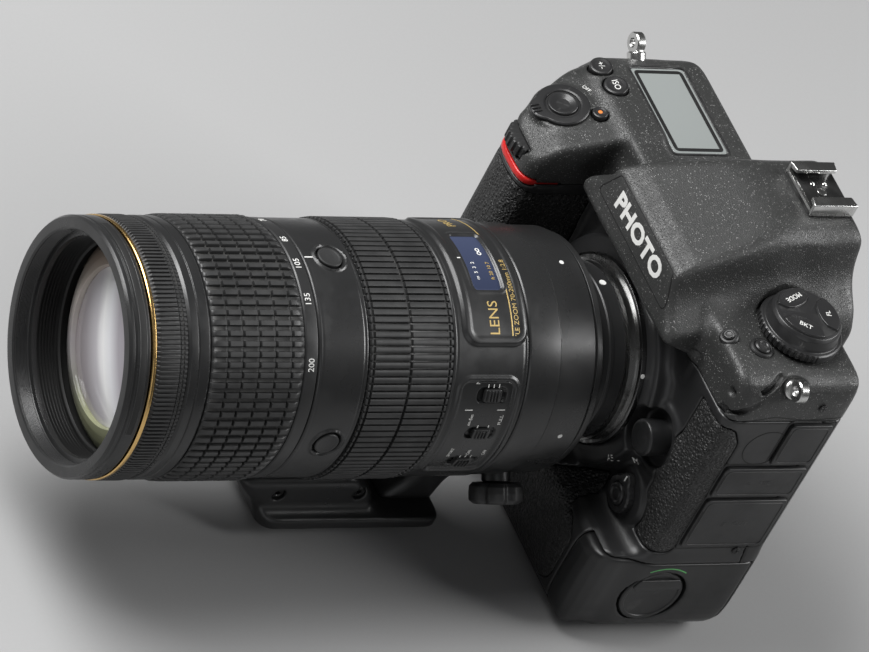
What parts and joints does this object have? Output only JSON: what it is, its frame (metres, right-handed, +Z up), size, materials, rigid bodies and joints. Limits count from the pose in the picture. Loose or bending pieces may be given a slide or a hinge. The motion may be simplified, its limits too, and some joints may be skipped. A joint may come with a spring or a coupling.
{
  "type": "dslr camera",
  "caption": "Single-lens reflex camera with an upright battery grip and a telephoto zoom lens, with working rings, dials, buttons, switches, connector covers, tripod collar and battery tray.",
  "frame": {"origin": "centre of the mouth of the tripod socket in the camera's base", "axes": "-Y is where the lens points, +Z is up, +X is the connector side of the body"},
  "size_m": [0.1708, 0.2755, 0.1601],
  "materials": {
    "casing": "satin",
    "grip_rubber": "grained",
    "red": "gloss",
    "inner_black": "matte",
    "steel": "brushed",
    "black_steel": "satin",
    "optical_glass": "polished",
    "sensor_blue": "gloss",
    "black_plastic": "matte",
    "window_glass": "polished",
    "rubber": "matte",
    "lens_black": "satin",
    "gold": "satin",
    "gloss_black": "gloss",
    "mirror": "mirror"
  },
  "bodies": {
    "camera": {"front_shell": "casing", "top_cover": "casing", "rear_cover": "casing", "base_plate": "casing", "grip_covering": "grip_rubber", "grip_accent": "red", "mirror_box": "inner_black", "lens_mount_ring": "steel", "screws": "black_steel", "viewfinder_optics": "optical_glass", "shutter_and_sensor": "sensor_blue", "eyepiece_frame": "black_plastic", "display_windows": "window_glass", "accessory_shoe": "steel", "strap_lugs": "steel", "terminal_caps": "rubber"},
    "lens": {"lens_barrel": "lens_black", "filter_ring": "lens_black", "trim_ring": "gold", "front_grip_ring": "lens_black", "fixed_lenses": "optical_glass", "distance_window": "window_glass", "lens_bayonet": "steel"},
    "zoom": {"zoom_ring": "lens_black", "zoom_rubber": "rubber"},
    "zoom_group": {"zoom_group": "optical_glass"},
    "focus": {"focus_ring": "rubber"},
    "collar": {"tripod_collar": "lens_black", "tripod_foot": "lens_black"},
    "knob": {"collar_knob": "black_plastic"},
    "battery": {"battery": "black_plastic", "battery_door": "casing"},
    "focus_hold_1": {"focus_hold_button_1": "rubber"},
    "focus_hold_2": {"focus_hold_button_2": "rubber"},
    "focus_hold_3": {"focus_hold_button_3": "rubber"},
    "focus_hold_4": {"focus_hold_button_4": "rubber"},
    "focus_switch": {"focus_switch": "black_plastic"},
    "limit_switch": {"limit_switch": "black_plastic"},
    "stabiliser_switch": {"stabiliser_switch": "black_plastic"},
    "usb_cover": {"usb_cover": "rubber"},
    "audio_cover": {"audio_cover": "rubber"},
    "network_cover": {"network_cover": "rubber"},
    "card_door": {"card_door": "grip_rubber"},
    "battery_latch": {"battery_latch": "black_plastic"},
    "shutter_button": {"shutter_button": "gloss_black"},
    "power_lever": {"power_lever": "black_plastic"},
    "exposure_button": {"exposure_button": "gloss_black"},
    "iso_button": {"iso_button": "gloss_black"},
    "record_button": {"record_button": "gloss_black"},
    "front_dial": {"front_dial": "rubber"},
    "rear_dial": {"rear_dial": "rubber"},
    "release_dial": {"release_dial": "black_plastic"},
    "mode_button": {"mode_button": "black_plastic"},
    "bracket_button": {"bracket_button": "black_plastic"},
    "flash_button": {"flash_button": "black_plastic"},
    "lens_release": {"lens_release": "gloss_black"},
    "focus_selector": {"focus_selector": "black_plastic"},
    "focus_mode_button": {"focus_mode_button": "gloss_black"},
    "multi_selector": {"multi_selector": "black_plastic"},
    "reflex_mirror": {"reflex_mirror": "mirror"}
  },
  "joints": [
    {"name": "lens_twist", "type": "hinge", "parent": "camera", "child": "lens", "pos_m": [0, -0.02, 0.078], "axis": [0, -1, 0], "range_deg": [0, 60]},
    {"name": "zoom_turn", "type": "hinge", "parent": "lens", "child": "zoom", "pos_m": [0, -0.17, 0.078], "axis": [0, -1, 0], "range_deg": [-33, 51]},
    {"name": "zoom_group_travel", "type": "slide", "parent": "lens", "child": "zoom_group", "axis": [0, -1, 0], "range_m": [-0.0115, 0.0165]},
    {"name": "focus_turn", "type": "hinge", "parent": "lens", "child": "focus", "pos_m": [0, -0.115, 0.078], "axis": [0, -1, 0], "continuous": true},
    {"name": "collar_turn", "type": "hinge", "parent": "lens", "child": "collar", "pos_m": [0, -0.064, 0.078], "axis": [0, -1, 0], "continuous": true},
    {"name": "knob_turn", "type": "hinge", "parent": "collar", "child": "knob", "pos_m": [0.03041, -0.0565, 0.04759], "axis": [0.7071, 0, -0.7071], "range_deg": [0, 360]},
    {"name": "focus_hold_1_press", "type": "slide", "parent": "lens", "child": "focus_hold_1", "axis": [0, 0, -1], "range_m": [0, 0.0006], "stiffness_N_per_m": 120, "springref_m": -0.001},
    {"name": "focus_hold_2_press", "type": "slide", "parent": "lens", "child": "focus_hold_2", "axis": [-1, 0, 0], "range_m": [0, 0.0006], "stiffness_N_per_m": 120, "springref_m": -0.001},
    {"name": "focus_hold_3_press", "type": "slide", "parent": "lens", "child": "focus_hold_3", "axis": [0, 0, 1], "range_m": [0, 0.0006], "stiffness_N_per_m": 120, "springref_m": -0.001},
    {"name": "focus_hold_4_press", "type": "slide", "parent": "lens", "child": "focus_hold_4", "axis": [1, 0, 0], "range_m": [0, 0.0006], "stiffness_N_per_m": 120, "springref_m": -0.001},
    {"name": "focus_switch_travel", "type": "slide", "parent": "lens", "child": "focus_switch", "axis": [0, -1, 0], "range_m": [-0.002, 0.002]},
    {"name": "limit_switch_travel", "type": "slide", "parent": "lens", "child": "limit_switch", "axis": [0, -1, 0], "range_m": [-0.002, 0.002]},
    {"name": "stabiliser_switch_travel", "type": "slide", "parent": "lens", "child": "stabiliser_switch", "axis": [0, -1, 0], "range_m": [-0.002, 0.002]},
    {"name": "usb_cover_open", "type": "hinge", "parent": "camera", "child": "usb_cover", "pos_m": [0.0675, 0.0175, 0.101], "axis": [0, 0, -1], "range_deg": [0, 110]},
    {"name": "audio_cover_open", "type": "hinge", "parent": "camera", "child": "audio_cover", "pos_m": [0.0675, 0.001, 0.0825], "axis": [0, 0, -1], "range_deg": [0, 110]},
    {"name": "network_cover_open", "type": "hinge", "parent": "camera", "child": "network_cover", "pos_m": [0.0675, 0.001, 0.062], "axis": [0, 0, -1], "range_deg": [0, 110]},
    {"name": "card_door_open", "type": "hinge", "parent": "camera", "child": "card_door", "pos_m": [-0.0915, 0.006, 0.078], "axis": [0, 0, 1], "range_deg": [0, 100]},
    {"name": "battery_slide", "type": "slide", "parent": "camera", "child": "battery", "axis": [1, 0, 0], "range_m": [0, 0.09]},
    {"name": "battery_latch_turn", "type": "hinge", "parent": "battery", "child": "battery_latch", "pos_m": [0.066, 0.002, 0.024], "axis": [1, 0, 0], "range_deg": [0, 90]},
    {"name": "shutter_press", "type": "slide", "parent": "camera", "child": "shutter_button", "axis": [0, 0.2588, -0.9659], "range_m": [0, 0.001], "stiffness_N_per_m": 150, "springref_m": -0.002},
    {"name": "power_turn", "type": "hinge", "parent": "camera", "child": "power_lever", "pos_m": [-0.0648, -0.0268, 0.13039], "axis": [0, -0.2588, 0.9659], "range_deg": [-25, 25]},
    {"name": "exposure_press", "type": "slide", "parent": "camera", "child": "exposure_button", "axis": [0, 0.2588, -0.9659], "range_m": [0, 0.001], "stiffness_N_per_m": 120, "springref_m": -0.001},
    {"name": "iso_press", "type": "slide", "parent": "camera", "child": "iso_button", "axis": [0, 0.2588, -0.9659], "range_m": [0, 0.001], "stiffness_N_per_m": 120, "springref_m": -0.001},
    {"name": "record_press", "type": "slide", "parent": "camera", "child": "record_button", "axis": [0, 0.2588, -0.9659], "range_m": [0, 0.001], "stiffness_N_per_m": 120, "springref_m": -0.001},
    {"name": "front_dial_turn", "type": "hinge", "parent": "camera", "child": "front_dial", "pos_m": [-0.06, -0.0363, 0.1185], "axis": [0, 0, 1], "continuous": true},
    {"name": "rear_dial_turn", "type": "hinge", "parent": "camera", "child": "rear_dial", "pos_m": [-0.068, 0.0326, 0.121], "axis": [0, 0, 1], "continuous": true},
    {"name": "release_dial_turn", "type": "hinge", "parent": "camera", "child": "release_dial", "pos_m": [0.042, 0.021, 0.134], "axis": [0, 0, 1], "continuous": true},
    {"name": "mode_press", "type": "slide", "parent": "release_dial", "child": "mode_button", "axis": [0, 0, -1], "range_m": [0, 0.001], "stiffness_N_per_m": 120, "springref_m": -0.001},
    {"name": "bracket_press", "type": "slide", "parent": "release_dial", "child": "bracket_button", "axis": [0, 0, -1], "range_m": [0, 0.001], "stiffness_N_per_m": 120, "springref_m": -0.001},
    {"name": "flash_press", "type": "slide", "parent": "release_dial", "child": "flash_button", "axis": [0, 0, -1], "range_m": [0, 0.001], "stiffness_N_per_m": 120, "springref_m": -0.001},
    {"name": "lens_release_press", "type": "slide", "parent": "camera", "child": "lens_release", "axis": [0, 1, 0], "range_m": [0, 0.002], "stiffness_N_per_m": 150, "springref_m": -0.002},
    {"name": "focus_selector_turn", "type": "hinge", "parent": "camera", "child": "focus_selector", "pos_m": [0.043, -0.012, 0.051], "axis": [0, -1, 0], "range_deg": [0, 40]},
    {"name": "focus_mode_press", "type": "slide", "parent": "camera", "child": "focus_mode_button", "axis": [0, 1, 0], "range_m": [0, 0.001], "stiffness_N_per_m": 120, "springref_m": -0.001},
    {"name": "multi_selector_press", "type": "slide", "parent": "camera", "child": "multi_selector", "axis": [0, -1, 0], "range_m": [0, 0.0008], "stiffness_N_per_m": 150, "springref_m": -0.002},
    {"name": "mirror_lift", "type": "hinge", "parent": "camera", "child": "reflex_mirror", "pos_m": [0, 0.021, 0.093], "axis": [-1, 0, 0], "range_deg": [0, 45]}
  ],
  "couplings": [
    {"joint": "zoom_group_travel", "follows": "zoom_turn", "m_per_rad": 0.0165}
  ]
}
